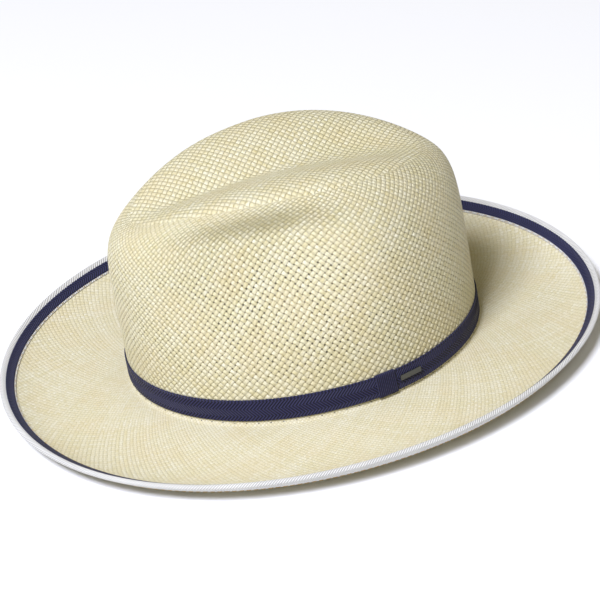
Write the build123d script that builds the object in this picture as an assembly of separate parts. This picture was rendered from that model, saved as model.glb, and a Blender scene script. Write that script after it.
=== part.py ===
from build123d import *
import math
import os

# Woven straw fedora. Millimetres, +Z up, front of the hat toward -Y, wearer's left toward +X.
# The brim rests on Z = 0 and the hat's outline is centred on the Z axis.
# t is the angle round the hat: 0 at the front, 90 degrees at the wearer's left, 180 at the back.

# Driving dimensions
FOOT_A = 80.5          # half width of the crown's foot
FOOT_B = 102.0         # half length of the crown's foot
BRIM_LEVEL = 3.5       # brim's upper face where it meets the crown
FOOT_R = 2.5           # bend between crown and brim
CROWN_H = 121.0        # crown before the dents, above the bend
BOX = 7.0              # squareness of the crown's shoulder
STRAW_T = 1.4
BRIM_W = 68.5          # reach of the bound brim from the crown's foot
DIP = 2.1              # how far the brim sinks before it curls up
EDGE_UP = 8.2          # height of the brim edge over the brim level
BAND_LOW = 2.9         # band's lower edge above the brim level
BAND_H = 12.4
BAND_T = 0.8
BAND_GAP = 0.12
BAND_LIFT = 0.6        # the band stands off further where the keeper passes behind it
KEEPER_ANGLE = math.radians(100)
KEEPER_W = 11.8
KEEPER_T = 0.5
PLATE_SHIFT = 15.3     # from the keeper's middle to the plate's middle, along the band
PLATE_L = 14.0
PLATE_H = 3.0
PLATE_T = 0.8
WIRE_R = 0.58
SLEEVE_R = 0.72
SLEEVE_L = 26.0
TAPE_T = 0.6
STRIPE_W = 4.0
STRIPE_IN = 0.45        # from the straw's edge to the stripe
STRIPE_T = 0.35
LEATHER_H = 34.0
LEATHER_T = 1.0
LEATHER_GAP = 1.5      # space between the straw and the leather, filled by the reed tape
SEAM_RISE = 3.6        # height of the sweatband's row of stitches above the brim level
REED_R = 0.7

Y_SHIFT = 1.29         # centres the outline on the origin
CORNER = 0.5 ** (1 / BOX)


def squash(value, power):
    return math.copysign(abs(value) ** power, value)


def crown(t, q):
    """Outer face of the crown: q = 0 at the middle of the top, 1 on the shoulder, 2 at the foot."""
    if q <= 1:
        reach = CORNER * q
        k = (1 - reach**BOX) ** (1 / BOX)
    else:
        k = CORNER * (2 - q)
        reach = (1 - k**BOX) ** (1 / BOX)
    c, s = math.cos(t), math.sin(t)
    taper = (0.03 if c > 0 else 0.05) * abs(c) ** 1.5 + 0.20 * abs(s) ** 1.5
    x = FOOT_A * s * reach * (1 - taper * k)
    y = -FOOT_B * c * reach * (1 - taper * k) - 0.04 * CROWN_H * k * (1 + c)
    z = CROWN_H * k
    # the top falls away toward the front and the back
    along = abs(y) / FOOT_B
    z -= k**3 * (16 * along**2.3 if y < 0 else 18 * along**1.8)
    # long dent down the middle of the top
    z -= 12 * k**6 * math.exp(-((abs(y) / (90 if y < 0 else 80)) ** 4) - (abs(x) / 24) ** 2.2)
    # pinch in both sides, deepest forward of the middle
    over_y = abs(y + 32) / (58 if y < -32 else 44)
    over_z = abs(z - 93) / (20 if z > 93 else 47)
    x -= 24 * math.tanh(x / 20) * math.tanh(z / 10) * math.exp(-(over_y**2.5) - over_z**2)
    return (x, y + Y_SHIFT, z + BRIM_LEVEL + FOOT_R)


def outward(t):
    """Unit normal of the crown's foot oval."""
    nx, ny = FOOT_B * math.sin(t), -FOOT_A * math.cos(t)
    length = math.hypot(nx, ny)
    return nx / length, ny / length


def brim_reach(t):
    """Reach of the straw itself; the bound edge adds 2.1."""
    return BRIM_W - 2.1 + 2.0 * math.cos(t) + 3.2 * math.cos(2 * t) - 0.7 * math.cos(3 * t)


def brim(t, q):
    """Upper face of the brim: q = 0 at the top of the bend, 0.1 at its end, 1 at the straw's edge."""
    if q <= 0.1:
        turn = math.pi / 2 * q / 0.1
        reach = FOOT_R * (1 - math.cos(turn))
        z = BRIM_LEVEL + FOOT_R * (1 - math.sin(turn))
    else:
        s = (q - 0.1) / 0.9
        reach = FOOT_R + (brim_reach(t) - FOOT_R) * s
        edge = EDGE_UP - 1.1 * math.cos(t) - 1.5 * math.cos(2 * t)
        z = BRIM_LEVEL - 4 * DIP * s * (1 - s) + edge * s**8
    nx, ny = outward(t)
    x = FOOT_A * math.sin(t) + nx * reach
    y = -FOOT_B * math.cos(t) + ny * reach
    return (x, y + Y_SHIFT, z)


def frame_at(face, t, q):
    """Point on a face, its direction toward growing q, and its outer normal."""
    e = 1e-3
    p = Vector(*face(t, q))
    around = Vector(*face(t + e, q)) - Vector(*face(t - e, q))
    down = Vector(*face(t, q + e)) - Vector(*face(t, q - e))
    down = down.normalized()
    return p, down, down.cross(around).normalized()


def offset_point(face, t, q, d):
    p, _, n = frame_at(face, t, q)
    return p + n * d


def wall(t, z, d):
    """Point on the crown's side at height z above the brim level, d outside the straw."""
    up = max(z - FOOT_R, 0.0)
    q = 2 - up / CROWN_H / CORNER
    p, _, n = frame_at(crown, t, min(q, 2 - 2e-3))
    flat = Vector(n.X, n.Y, 0).normalized()
    return Vector(p.X, p.Y, BRIM_LEVEL + z) + flat * d


def edge_point(t, x, y):
    """Point near the brim edge: x outward from the straw's edge, y above the middle of the straw."""
    p, out, n = frame_at(brim, t, 1 - 1e-3 + min(x, 0) / BRIM_W)
    return p + out * max(x, 0) + n * (y - STRAW_T / 2)


def ring(point, sectors=16):
    """Closed smooth curve round the hat, in equal sectors."""
    edges = []
    for i in range(sectors):
        turns = [2 * math.pi * (i + j / 4) / sectors for j in range(5)]
        ends = [point(t + 1e-3) - point(t - 1e-3) for t in (turns[0], turns[-1])]
        edges.append(Edge.make_spline([point(t) for t in turns], tangents=[e.normalized() for e in ends]))
    return Wire(edges)


def closed_ring_body(points, sectors=16):
    """Hoop whose cross-section has the given corner functions."""
    rings = [ring(point, sectors) for point in points]
    faces = []
    for i, lower in enumerate(rings):
        faces += Shell.make_loft([lower, rings[(i + 1) % len(rings)]], ruled=True).faces()
    return Solid(Shell(faces))


def wall_hoop(corners):
    """Hoop on the crown's side from (height, distance) corners."""
    return closed_ring_body([lambda t, z=z, d=d: wall(t, z, d) for z, d in corners])


def edge_hoop(corners):
    """Hoop on the brim edge from (x, y) corners."""
    return closed_ring_body([lambda t, x=x, y=y: edge_point(t, x, y) for x, y in corners])


def arc_corners(cx, cy, r, start, stop, steps):
    """Corners on an arc, angles in degrees."""
    turns = [math.radians(start + (stop - start) * i / steps) for i in range(steps + 1)]
    return [(cx + r * math.cos(a), cy + r * math.sin(a)) for a in turns]


def straw_skin(depth):
    """One face of the straw, a depth below its outer face: a smooth crown, then the bend and the brim in strips."""
    pole = Vector(*crown(0, 1e-6)) - Vector(0, 0, depth)
    crown_rings = [(crown, 0.14 * i) for i in range(1, 8)] + [(crown, 1 + 0.1 * i) for i in range(0, 9)]
    foot = [(crown, q) for q in (1.85, 1.9, 1.95)] + [(brim, 0.025 * i) for i in range(0, 5)]
    flat = [(brim, q) for q in (0.2, 0.3, 0.4, 0.5, 0.6, 0.7, 0.78, 0.84, 0.89, 0.93, 0.965, 1 - 1e-3)]
    smooth = [ring(lambda t, f=f, q=q: offset_point(f, t, q, -depth)) for f, q in crown_rings]
    strips = smooth[-1:] + [ring(lambda t, f=f, q=q: offset_point(f, t, q, -depth)) for f, q in foot + flat]
    faces = list(Shell.make_loft([Vertex(*pole), *smooth]).faces())
    for upper, lower in zip(strips, strips[1:]):
        faces += Shell.make_loft([upper, lower], ruled=True).faces()
    return faces, strips[-1]


def straw_body():
    """Crown and brim in one thin wall, with a closed outer face and a closed inner face."""
    outer_faces, outer_edge = straw_skin(0)
    inner_faces, inner_edge = straw_skin(STRAW_T)
    nose = ring(lambda t: edge_point(t, 0.0, 0.0))
    edge_faces = Shell.make_loft([outer_edge, nose, inner_edge], ruled=True).faces()
    return Solid(Shell(outer_faces + inner_faces + list(edge_faces)))


def band_point(t, z, d):
    """Point on the band, which bulges over the keeper's back leaf and the plate's prongs."""
    turn = (t - KEEPER_ANGLE - 0.09 + math.pi) % (2 * math.pi) - math.pi
    return wall(t, z, d + BAND_GAP + BAND_LIFT * math.exp(-((turn / 0.30) ** 4)))


def hat_band():
    low, high = BAND_LOW, BAND_LOW + BAND_H
    corners = [(low, 0.0), (low, BAND_T), (high, BAND_T), (high, 0.0)]
    body = closed_ring_body([lambda t, z=z, d=d: band_point(t, z, d) for z, d in corners], 32)
    join = side_plane(KEEPER_ANGLE, low + BAND_H / 2, 0) * Box(0.3, 2 * BAND_H, 8)
    holes = [at * Cylinder(0.45, 6) for at in prong_planes()]
    return body - join - holes


def side_plane(t, z, d):
    """Plane on the crown's side: X along the hat's outline, Y up the wall, Z outward."""
    p = wall(t, z, d)
    up = (wall(t, z + 0.5, d) - wall(t, z - 0.5, d)).normalized()
    along = (wall(t + 1e-3, z, d) - wall(t - 1e-3, z, d)).normalized()
    return Plane(origin=p, x_dir=along, z_dir=along.cross(up))


def outline_step(t):
    """Distance along the crown's foot for one radian of t."""
    return math.hypot(FOOT_A * math.cos(t), FOOT_B * math.sin(t))


def plate_plane(shift, d):
    t = KEEPER_ANGLE + (PLATE_SHIFT + shift) / outline_step(KEEPER_ANGLE + 0.1)
    return side_plane(t, BAND_LOW + BAND_H / 2 + 0.6, d)


def prong_planes():
    """Planes on the plate's back at its two prongs."""
    middle = plate_plane(0, BAND_GAP + BAND_LIFT)
    return [middle * Pos(x, 0, 0) for x in (-PLATE_L / 4, PLATE_L / 4)]


def name_plate():
    face = plate_plane(0, BAND_GAP + BAND_LIFT + BAND_T + 0.25 + PLATE_T / 2)
    plate = fillet(Box(PLATE_L, PLATE_H, PLATE_T).edges().filter_by(Axis.Z), 0.4)
    body = face * plate
    for at in prong_planes():
        body += at * Pos(0, 0, 0.45) * Cylinder(0.35, 1.6)
    return body


def box_section(t, low, high, near, far):
    """Closed four-cornered section at one angle, from near to far outside the straw."""
    a, b = wall(t, low, 0), wall(t, high, 0)
    nx, ny = outward(t)
    n = Vector(nx, ny, 0)
    return Wire.make_polygon([a + n * near, a + n * far, b + n * far, b + n * near], close=True)


def wall_patch(t, width, low, high, near, far, steps=6):
    """Curved block on the crown's side, width measured along the outline."""
    half = width / 2 / outline_step(t)
    turns = [t - half + 2 * half * i / steps for i in range(steps + 1)]
    return Solid.make_loft([box_section(a, low, high, near, far) for a in turns])


def band_keeper():
    low, high = BAND_LOW - 0.65, BAND_LOW + BAND_H + 0.65
    far = BAND_GAP + BAND_LIFT + BAND_T + 0.12 + KEEPER_T
    near, leaf = 0.16, 0.44
    outside = wall_patch(KEEPER_ANGLE, KEEPER_W, low, high, near, far)
    inside = wall_patch(KEEPER_ANGLE, KEEPER_W + 4, low + leaf, high - leaf, near + leaf, far - KEEPER_T)
    return outside - inside


def face_run(y, start, stop, steps):
    return [(start + (stop - start) * i / steps, y) for i in range(steps + 1)]


def binding_tape():
    inside, outside, middle = STRAW_T / 2 + 0.1, STRAW_T / 2 + 0.1 + TAPE_T, 0.87
    corners = face_run(outside, -5.4, -0.2, 3) + arc_corners(middle, 0, outside, 90, -90, 6)
    corners += face_run(-outside, -0.2, -6.6, 4) + face_run(-inside, -6.6, -0.2, 4)
    corners += arc_corners(middle, 0, inside, -90, 90, 4) + face_run(inside, -0.2, -5.4, 3)
    return edge_hoop(corners)


def binding_stripe():
    low = STRAW_T / 2 + 0.1 + TAPE_T + 0.04
    near, far = -STRIPE_IN, -STRIPE_IN - STRIPE_W
    corners = face_run(low, far, near, 3) + face_run(low + STRIPE_T, near, far, 3)
    return edge_hoop(corners)


def brim_wire():
    body = edge_hoop(arc_corners(0.87, 0, WIRE_R, 0, 300, 5))
    return body - Pos(*edge_point(math.pi, 0.87, 0)) * Box(0.4, 6, 6)


def edge_circle(t, r):
    """Circle across the wire's path."""
    middle = edge_point(t, 0.87, 0)
    along = edge_point(t + 1e-3, 0.87, 0) - edge_point(t - 1e-3, 0.87, 0)
    return Plane(origin=middle, z_dir=along) * Wire.make_circle(r)


def wire_sleeve():
    half = SLEEVE_L / 2 / (FOOT_A + BRIM_W)
    turns = [math.pi - half + half * i / 3 for i in range(7)]
    tube = Solid.make_loft([edge_circle(t, SLEEVE_R) for t in turns])
    return tube - Solid.make_loft([edge_circle(t, WIRE_R + 0.04) for t in turns])


LEATHER_IN = -STRAW_T - LEATHER_GAP - LEATHER_T


def sweatband():
    near, far = LEATHER_IN + LEATHER_T, LEATHER_IN
    rise = [0.2] + [SEAM_RISE + (LEATHER_H - SEAM_RISE) * i / 4 for i in range(5)]
    corners = [(z, near) for z in rise] + [(z, far) for z in reversed(rise)]
    seam = Pos(0, FOOT_B + Y_SHIFT, BRIM_LEVEL + LEATHER_H / 2) * Box(0.3, 24, 2 * LEATHER_H)
    return wall_hoop(corners) - seam


REED_MIDDLE = (-1.1, LEATHER_IN + LEATHER_T / 2)


def reed():
    z, d = REED_MIDDLE
    return wall_hoop([(z + v, d + u) for u, v in arc_corners(0, 0, REED_R, 0, 315, 7)])


def reed_tape():
    """Tape hooked round the reed, with a leaf standing between the straw and the leather."""
    z, d = REED_MIDDLE
    hook = [(z + v, d + u) for u, v in arc_corners(0, 0, REED_R + 0.42, 0, -180, 5)]
    hook += [(z + v, d + u) for u, v in arc_corners(0, 0, REED_R + 0.1, -180, 0, 5)]
    leaf = LEATHER_IN + LEATHER_T + 0.15
    return wall_hoop([(6.5, leaf + 0.32)] + hook + [(6.5, leaf)])


def stitch(plane, length, width, height):
    """Low thread dash lying on a plane."""
    return plane * Pos(0, 0, height / 2 + 0.03) * Box(length, width, height)


def surface_plane(point, lift):
    """Plane whose X follows the hat round, from a function of the angle and the lift."""

    def at(t):
        p = point(t, 0)
        along = (point(t + 1e-3, 0) - point(t - 1e-3, 0)).normalized()
        return Plane(origin=point(t, lift), x_dir=along, z_dir=(point(t, 1) - p))

    return at


def stitch_row(point, count, size):
    at = surface_plane(point, 0)
    turns = [2 * math.pi * (i + 0.5) / count for i in range(count)]
    return Compound(children=[stitch(at(t), *size) for t in turns])


def binding_stitches():
    top = STRAW_T / 2 + 0.1 + TAPE_T
    return stitch_row(lambda t, d: edge_point(t, -5.05, top + d), 190, (2.0, 0.3, 0.2))


def band_stitches():
    return stitch_row(lambda t, d: offset_point(brim, t, 0.03, d + 0.06), 90, (0.9, 0.45, 0.25))


def sweatband_stitches():
    return stitch_row(lambda t, d: wall(t, SEAM_RISE, LEATHER_IN - d), 110, (2.6, 0.4, 0.25))


def size_label():
    return wall_patch(math.radians(150), 24, 13, 25, LEATHER_IN - 0.25, LEATHER_IN - 0.05)


def seam_tape():
    return wall_patch(math.pi, 9, 13, 32, LEATHER_IN - 0.32, LEATHER_IN - 0.07)


BOW_PLANE = side_plane(math.pi, 8.6, LEATHER_IN - 3.1)


def bow_loop(side):
    """Flattened ribbon loop beside the knot."""
    outer = Ellipse(5.6, 1.25) - Ellipse(5.1, 0.8)
    return BOW_PLANE * Pos(side * 7.6, 0, 0) * Rot(90, 0, 0) * extrude(outer, 2.4, both=True)


def back_bow():
    return Compound(children=[bow_loop(-1), bow_loop(1)])


def bow_knot():
    return BOW_PLANE * fillet(Box(3.6, 5.8, 2.6).edges(), 0.6)


nodes = {
    "straw_body": straw_body,
    "hat_band": hat_band,
    "band_keeper": band_keeper,
    "name_plate": name_plate,
    "band_stitches": band_stitches,
    "binding_tape": binding_tape,
    "binding_stripe": binding_stripe,
    "binding_stitches": binding_stitches,
    "brim_wire": brim_wire,
    "wire_sleeve": wire_sleeve,
    "sweatband": sweatband,
    "sweatband_stitches": sweatband_stitches,
    "reed": reed,
    "reed_tape": reed_tape,
    "seam_tape": seam_tape,
    "size_label": size_label,
    "back_bow": back_bow,
    "bow_knot": bow_knot,
}

os.makedirs("parts", exist_ok=True)
for name, build in nodes.items():
    shape = build()
    shape.label = name
    export_step(shape, f"parts/{name}.step")
    box = shape.bounding_box()
    print(name, len(shape.solids()), shape.is_valid, round(shape.volume, 2), box.min, box.max)
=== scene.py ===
"""Looks of the woven straw fedora: straw, ribbons, bound edge, leather and threads round the CAD frame."""

import math

import bmesh
import bpy
import numpy as np
from mathutils import Matrix, Vector


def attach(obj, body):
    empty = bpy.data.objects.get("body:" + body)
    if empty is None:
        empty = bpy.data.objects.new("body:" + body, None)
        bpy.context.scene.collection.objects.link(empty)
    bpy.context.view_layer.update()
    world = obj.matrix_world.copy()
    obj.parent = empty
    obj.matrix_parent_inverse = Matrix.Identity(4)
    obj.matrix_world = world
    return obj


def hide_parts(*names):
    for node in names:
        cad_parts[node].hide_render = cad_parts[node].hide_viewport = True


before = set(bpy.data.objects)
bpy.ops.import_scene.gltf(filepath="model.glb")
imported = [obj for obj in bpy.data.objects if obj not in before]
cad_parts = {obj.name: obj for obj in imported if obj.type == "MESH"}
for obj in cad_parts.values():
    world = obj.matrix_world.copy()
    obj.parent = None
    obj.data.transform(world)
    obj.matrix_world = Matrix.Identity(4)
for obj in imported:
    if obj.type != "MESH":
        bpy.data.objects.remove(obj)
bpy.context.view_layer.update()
rng = np.random.default_rng(7)

# ---------------------------------------------------------------- shape of the hat, in millimetres
# The same shape as the CAD model.
# t is the angle round the hat: 0 at the front, pi / 2 at the wearer's left.

FOOT_A, FOOT_B = 80.5, 102.0
BRIM_LEVEL, FOOT_R = 3.5, 2.5
CROWN_H, BOX = 121.0, 7.0
STRAW_T = 1.4
BRIM_W, DIP, EDGE_UP = 68.5, 2.1, 8.2
BAND_LOW, BAND_H, BAND_T, BAND_GAP, BAND_LIFT = 2.9, 12.4, 0.8, 0.12, 0.6
KEEPER_ANGLE, KEEPER_W, KEEPER_T = math.radians(100), 11.8, 0.5
TAPE_T, STRIPE_W, STRIPE_IN, STRIPE_T = 0.6, 4.0, 0.45, 0.35
LEATHER_H, LEATHER_T, LEATHER_GAP = 34.0, 1.0, 1.5
REED_R = 0.7
SEAM_RISE = 3.6
STRAW_SEAM = 8.0
Y_SHIFT = 1.29
CORNER = 0.5 ** (1 / BOX)
LEATHER_IN = -STRAW_T - LEATHER_GAP - LEATHER_T
TAPE_IN = STRAW_T / 2 + 0.1
TAPE_OUT = TAPE_IN + TAPE_T

# the weave: strands round the hat, the pitch of the square weave on top, and where that ends (in q)
BRIM_STRANDS = 288
CROWN_STRANDS = 144
TOP_PITCH = 2.7
LEVEL_END = 0.90
RIB_STEP, RIB_ZONE = 1.9, 4.13


def crown(t, q):
    """Outer face of the crown: q = 0 at the middle of the top, 1 on the shoulder, 2 at the foot."""
    t, q = np.broadcast_arrays(np.asarray(t, float), np.asarray(q, float))
    top = q <= 1
    low = np.where(top, CORNER * q, CORNER * (2 - q))
    other = (1 - np.abs(low) ** BOX) ** (1 / BOX)
    reach, k = np.where(top, low, other), np.where(top, other, low)
    c, s = np.cos(t), np.sin(t)
    taper = np.where(c > 0, 0.03, 0.05) * np.abs(c) ** 1.5 + 0.20 * np.abs(s) ** 1.5
    x = FOOT_A * s * reach * (1 - taper * k)
    y = -FOOT_B * c * reach * (1 - taper * k) - 0.04 * CROWN_H * k * (1 + c)
    z = CROWN_H * k
    along = np.abs(y) / FOOT_B
    z = z - k**3 * np.where(y < 0, 16 * along**2.3, 18 * along**1.8)
    z = z - 12 * k**6 * np.exp(-((np.abs(y) / np.where(y < 0, 90, 80)) ** 4) - (np.abs(x) / 24) ** 2.2)
    over_y = np.abs(y + 32) / np.where(y < -32, 58, 44)
    over_z = np.abs(z - 93) / np.where(z > 93, 20, 47)
    x = x - 24 * np.tanh(x / 20) * np.tanh(z / 10) * np.exp(-(over_y**2.5) - over_z**2)
    return np.stack([x, y + Y_SHIFT, z + BRIM_LEVEL + FOOT_R], -1)


def outward(t):
    """Unit normal of the crown's foot oval."""
    n = np.stack([FOOT_B * np.sin(t), -FOOT_A * np.cos(t)], -1)
    return n / np.linalg.norm(n, axis=-1, keepdims=True)


def brim(t, q):
    """Upper face of the brim: q = 0 at the top of the bend, 0.1 at its end, 1 at the straw's edge."""
    t, q = np.broadcast_arrays(np.asarray(t, float), np.asarray(q, float))
    turn = math.pi / 2 * np.clip(q, -0.02, 0.1) / 0.1
    s = np.clip((q - 0.1) / 0.9, 0, None)
    full = BRIM_W - 2.1 + 2.0 * np.cos(t) + 3.2 * np.cos(2 * t) - 0.7 * np.cos(3 * t)
    edge = EDGE_UP - 1.1 * np.cos(t) - 1.5 * np.cos(2 * t)
    bend = q <= 0.1
    reach = np.where(bend, FOOT_R * (1 - np.cos(turn)), FOOT_R + (full - FOOT_R) * s)
    z = np.where(bend, FOOT_R * (1 - np.sin(turn)), -4 * DIP * s * (1 - s) + edge * s**8)
    n = outward(t)
    x = FOOT_A * np.sin(t) + n[..., 0] * reach
    y = -FOOT_B * np.cos(t) + n[..., 1] * reach
    return np.stack([x, y + Y_SHIFT, z + BRIM_LEVEL], -1)


def unit(v):
    return v / np.maximum(np.linalg.norm(v, axis=-1, keepdims=True), 1e-12)


def frame_at(face, t, q):
    """Points on a face, their direction toward growing q, and their outer normals."""
    e = 1e-3
    p = face(t, q)
    around = face(t + e, q) - face(t - e, q)
    down = unit(face(t, q + e) - face(t, np.maximum(q - e, 0)))
    return p, down, unit(np.cross(down, around))


def wall(t, z, d):
    """Points on the crown's side at height z above the brim level, d outside the straw."""
    t, z, d = np.broadcast_arrays(np.asarray(t, float), np.asarray(z, float), np.asarray(d, float))
    q = np.minimum(2 - np.maximum(z - FOOT_R, 0) / CROWN_H / CORNER, 2 - 2e-3)
    p, _, n = frame_at(crown, t, q)
    flat = unit(n * np.array([1.0, 1.0, 0.0]))
    p[..., 2] = BRIM_LEVEL + z
    return p + flat * d[..., None]


def edge_point(t, x, y):
    """Points near the brim edge: x outward from the straw's edge, y above the middle of the straw."""
    t, x, y = np.broadcast_arrays(np.asarray(t, float), np.asarray(x, float), np.asarray(y, float))
    p, out, n = frame_at(brim, t, 1 - 1e-3 + np.minimum(x, 0) / BRIM_W)
    return p + out * np.maximum(x, 0)[..., None] + n * (y - STRAW_T / 2)[..., None]


def band_point(t, z, d):
    """Points on the band, which bulges over the keeper's back leaf and the plate's prongs."""
    turn = (t - KEEPER_ANGLE - 0.09 + math.pi) % (2 * math.pi) - math.pi
    return wall(t, z, d + BAND_GAP + BAND_LIFT * np.exp(-((turn / 0.30) ** 4)))


def outline_step(t):
    return math.hypot(FOOT_A * math.cos(t), FOOT_B * math.sin(t))


# ---------------------------------------------------------------- meshes


def make_object(name, verts_mm, polys, uvs=None, attributes=None):
    """Mesh object from points in millimetres, with a UV pair per face corner and named point values."""
    mesh = bpy.data.meshes.new(name)
    mesh.from_pydata((np.asarray(verts_mm) / 1000).tolist(), [], polys)
    if uvs is not None:
        layer = mesh.uv_layers.new(name="strands")
        layer.data.foreach_set("uv", np.asarray(uvs, np.float32).ravel())
    for key, values in (attributes or {}).items():
        layer = mesh.attributes.new(key, "FLOAT", "POINT")
        layer.data.foreach_set("value", np.asarray(values, np.float32))
    mesh.validate()
    mesh.shade_smooth()
    obj = bpy.data.objects.new(name, mesh)
    bpy.context.collection.objects.link(obj)
    return obj


def finish_piece(obj, material, replaced=()):
    obj.data.materials.clear()
    obj.data.materials.append(material)
    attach(obj, "root")
    if replaced:
        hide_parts(*replaced)
    return obj


def hoop(name, place, section, step, relief=None):
    """Closed band round the hat. section is a closed loop of (a, b) in mm; place(t, a, b) puts it in space.
    relief(u, s) lifts the surface, from the length u along the hoop and s round the section, both in mm."""
    section = np.asarray(section, float)
    ahead, behind = np.roll(section, -1, 0), np.roll(section, 1, 0)
    lengths = np.concatenate([[0], np.cumsum(np.linalg.norm(ahead - section, axis=1))])
    tangent = unit(ahead - behind)
    normal = np.stack([tangent[:, 1], -tangent[:, 0]], -1)
    area = np.sum(section[:, 0] * ahead[:, 1] - ahead[:, 0] * section[:, 1])
    normal *= 1 if area > 0 else -1
    probe = place(np.linspace(0, 2 * math.pi, 721), section[0, 0], section[0, 1])
    run = np.concatenate([[0], np.cumsum(np.linalg.norm(np.diff(probe, axis=0), axis=1))])
    count = 2 * int(run[-1] / step / 2)
    u = run[-1] * np.arange(count) / count
    t = np.interp(u, run, np.linspace(0, 2 * math.pi, 721))
    lift = np.zeros((count, len(section)))
    if relief is not None:
        lift = relief(u[:, None], lengths[None, :-1])
    a = section[None, :, 0] + normal[None, :, 0] * lift
    b = section[None, :, 1] + normal[None, :, 1] * lift
    verts = place(t[:, None] + 0 * a, a, b).reshape(-1, 3)
    m = len(section)
    i, j = np.meshgrid(np.arange(count), np.arange(m), indexing="ij")
    i2, j2 = (i + 1) % count, (j + 1) % m
    quads = np.stack([i * m + j, i2 * m + j, i2 * m + j2, i * m + j2], -1)
    ui, ui2 = u[0] + run[-1] * i / count, run[-1] * (i + 1) / count
    across = np.stack([lengths[j], lengths[j], lengths[j + 1], lengths[j + 1]], -1)
    uv = np.stack([np.stack([ui, ui2, ui2, ui], -1), across], -1)
    quads, uv = quads.reshape(-1, 4), uv.reshape(-1, 4, 2)
    if signed_volume(verts, quads) < 0:
        quads, uv = quads[:, ::-1], uv[:, ::-1]
    return make_object(name, verts, quads.tolist(), uv)


def signed_volume(verts, quads):
    a, b, c, d = (verts[quads[:, k]] for k in range(4))
    return float((a * np.cross(b, c)).sum() + (a * np.cross(c, d)).sum())


def lined(points, step):
    """Loop of points with every side cut into pieces of about step."""
    out = []
    for p, q in zip(points, points[1:] + points[:1]):
        n = max(1, round(math.dist(p, q) / step))
        out += [(p[0] + (q[0] - p[0]) * i / n, p[1] + (q[1] - p[1]) * i / n) for i in range(n)]
    return out


def arc(ca, cb, r, start, stop, steps):
    turns = np.radians(np.linspace(start, stop, steps + 1))
    return [(ca + r * math.cos(x), cb + r * math.sin(x)) for x in turns]


def strip_section(low, high, near, far, step):
    """Flat ribbon's section, height first, with softly rounded long edges."""
    r = (far - near) / 2
    mid = (near + far) / 2
    turns = [math.radians(x) for x in (-90, -45, 0, 45, 90)]
    top = [(high - r + r * math.cos(x), mid - r * math.sin(x)) for x in turns]
    foot = [(low + r - r * math.cos(x), mid + r * math.sin(x)) for x in turns]
    return lined(top + foot, step)


# ---------------------------------------------------------------- woven straw


def weave_height(a, b):
    """Height of a plain weave, 0 in a hole and 1 on top of a crossing."""
    fa, fb = a - np.floor(a) - 0.5, b - np.floor(b) - 0.5
    sign = np.where((np.floor(a) + np.floor(b)) % 2 == 0, 1.0, -1.0)
    round_a = np.sqrt(np.clip(1 - (fa / 0.52) ** 2, 0, 1))
    round_b = np.sqrt(np.clip(1 - (fb / 0.52) ** 2, 0, 1))
    over_a = 0.30 + 0.38 * sign * np.cos(math.pi * fb) + 0.32 * round_a
    over_b = 0.30 - 0.38 * sign * np.cos(math.pi * fa) + 0.32 * round_b
    return np.maximum(over_a * (round_a > 0), over_b * (round_b > 0))


def level_strands(p):
    """Strand numbers of the square weave in the middle of the crown's top."""
    x, y = p[..., 0], p[..., 1]
    return np.stack([x + y, x - y], -1) / math.sqrt(2) / TOP_PITCH


class Shell:
    """Rows of points joined into one closed woven skin."""

    def __init__(self):
        self.points, self.opens, self.polys, self.uvs, self.total = [], [], [], [], 0
        self.level = False

    def row(self, points, opens):
        start = self.total
        self.points.append(points)
        self.opens.append(opens)
        self.total += len(points)
        return start, len(points)

    def join(self, first, second, strands, v_first, v_second):
        """Faces between two rows, where one may have twice the points of the other."""
        (s1, n1), (s2, n2) = first, second
        if n2 < n1:
            self._fan(second, first, strands, v_second, v_first, True)
        elif n2 > n1:
            self._fan(first, second, strands, v_first, v_second, False)
        else:
            k = np.arange(n1)
            k2 = (k + 1) % n1
            polys = np.stack([s1 + k, s2 + k, s2 + k2, s1 + k2], -1)
            t0, t1 = 2 * math.pi * k / n1, 2 * math.pi * (k + 1) / n1
            t = np.stack([t0, t0, t1, t1], -1)
            v = np.array([v_first, v_second, v_second, v_first])[None, :] + 0 * t
            self._add(polys, t, v, strands)

    def _fan(self, few, many, strands, v_few, v_many, flip):
        (s1, n1), (s2, n2) = few, many
        k = np.arange(n1)
        k2 = (k + 1) % n1
        polys = np.stack([s1 + k, s2 + 2 * k, s2 + 2 * k + 1, s2 + (2 * k + 2) % n2, s1 + k2], -1)
        t0, t1 = 2 * math.pi * k / n1, 2 * math.pi * (k + 1) / n1
        t = np.stack([t0, t0, (t0 + t1) / 2, t1, t1], -1)
        v = np.array([v_few, v_many, v_many, v_many, v_few])[None, :] + 0 * t
        if flip:
            polys, t, v = polys[:, ::-1], t[:, ::-1], v[:, ::-1]
        self._add(polys, t, v, strands)

    def _add(self, polys, t, v, strands):
        """Faces and their strand numbers. Level faces keep their corners until their points are known."""
        uv = np.stack([strands * (t + v), strands * (t - v)], -1) / (2 * math.pi)
        self.polys += polys.tolist()
        self.uvs.append(polys if self.level else uv.reshape(-1, 2))

    def cap(self, row, centre, strands, outer):
        """Closes a pole with triangles round a centre point."""
        start, n = row
        middle = self.row(np.array([centre]), np.zeros(1))[0]
        k = np.arange(n)
        polys = np.stack([start + k, start + (k + 1) % n, middle + 0 * k], -1)
        t = np.stack([2 * math.pi * k / n, 2 * math.pi * (k + 1) / n, 2 * math.pi * (k + 0.5) / n], -1)
        v = np.array([0.0, 0.0, -0.3])[None, :] + 0 * t
        if not outer:
            polys, t, v = polys[:, ::-1], t[:, ::-1], v[:, ::-1]
        self._add(polys, t, v, strands)

    def build(self, name):
        points = np.concatenate(self.points)
        uvs = [level_strands(points[u]).reshape(-1, 2) if u.dtype.kind == "i" else u for u in self.uvs]
        openness = {"openness": np.concatenate(self.opens)}
        return make_object(name, points, self.polys, np.concatenate(uvs), openness)


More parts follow.
